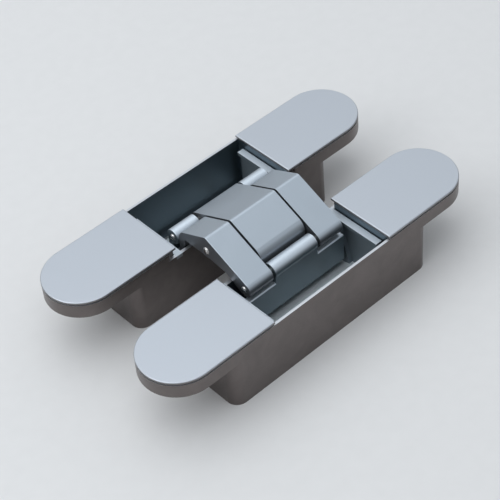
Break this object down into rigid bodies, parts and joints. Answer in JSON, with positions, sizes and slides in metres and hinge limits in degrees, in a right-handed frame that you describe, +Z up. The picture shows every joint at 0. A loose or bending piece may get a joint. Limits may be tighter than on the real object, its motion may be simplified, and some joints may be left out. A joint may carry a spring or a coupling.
{
  "type": "concealed door hinge",
  "caption": "Concealed door hinge with round-ended leaves, thin screw covers and folding arms on links that swing into deep housings.",
  "frame": {"origin": "midway between the two leaves and midway along them, at the level of their flat bottoms, with the hinge open flat", "axes": "+X along the leaves and every pivot, +Y from the frame leaf to the door leaf, +Z up out of the covers"},
  "size_m": [0.16, 0.088, 0.0401],
  "materials": {
    "housing": "satin silver lacquer on die-cast zinc",
    "cover": "satin pale blue-grey lacquer",
    "arm": "satin pale blue-grey lacquer",
    "carrier": "light cast metal, matt",
    "link": "satin steel",
    "pin": "ground steel",
    "washer": "plain low-friction plastic"
  },
  "bodies": {
    "frame": {"frame_housing": "housing", "frame_carrier": "carrier", "frame_arm_pin": "pin", "frame_cover_left": "cover", "frame_cover_right": "cover"},
    "center_arm": {"center_arm": "arm"},
    "outer_arms": {"outer_arm_left": "arm", "outer_arm_right": "arm", "center_pin": "pin", "washer_left": "washer", "washer_right": "washer"},
    "door": {"door_housing": "housing", "door_carrier": "carrier", "door_arm_pin": "pin", "door_cover_left": "cover", "door_cover_right": "cover"},
    "frame_link": {"frame_link": "link", "frame_knuckle_pin": "pin", "frame_link_pin": "pin"},
    "door_link": {"door_link": "link", "door_knuckle_pin": "pin", "door_link_pin": "pin"}
  },
  "joints": [
    {"name": "frame_pivot", "type": "hinge", "parent": "frame", "child": "center_arm", "pos_m": [0, -0.0174, 0.0184], "axis": [1, 0, 0], "range_deg": [0, 99.55]},
    {"name": "center_pivot", "type": "hinge", "parent": "center_arm", "child": "outer_arms", "pos_m": [0, 0, 0.0334], "axis": [1, 0, 0], "range_deg": [-19.09, 0]},
    {"name": "door_pivot", "type": "hinge", "parent": "outer_arms", "child": "door", "pos_m": [0, 0.0174, 0.0184], "axis": [1, 0, 0], "range_deg": [0, 99.55]},
    {"name": "frame_knuckle", "type": "hinge", "parent": "outer_arms", "child": "frame_link", "pos_m": [0, -0.0207, 0.0268], "axis": [1, 0, 0], "range_deg": [-5.58, 0]},
    {"name": "door_knuckle", "type": "hinge", "parent": "center_arm", "child": "door_link", "pos_m": [0, 0.0207, 0.0268], "axis": [1, 0, 0], "range_deg": [0, 5.58]}
  ],
  "couplings": [
    {"joint": "center_pivot", "follows": "frame_pivot", "ratio": -0.19179},
    {"joint": "door_pivot", "follows": "frame_pivot", "ratio": 1},
    {"joint": "frame_knuckle", "follows": "frame_pivot", "ratio": -0.056065},
    {"joint": "door_knuckle", "follows": "frame_pivot", "ratio": 0.056065}
  ]
}
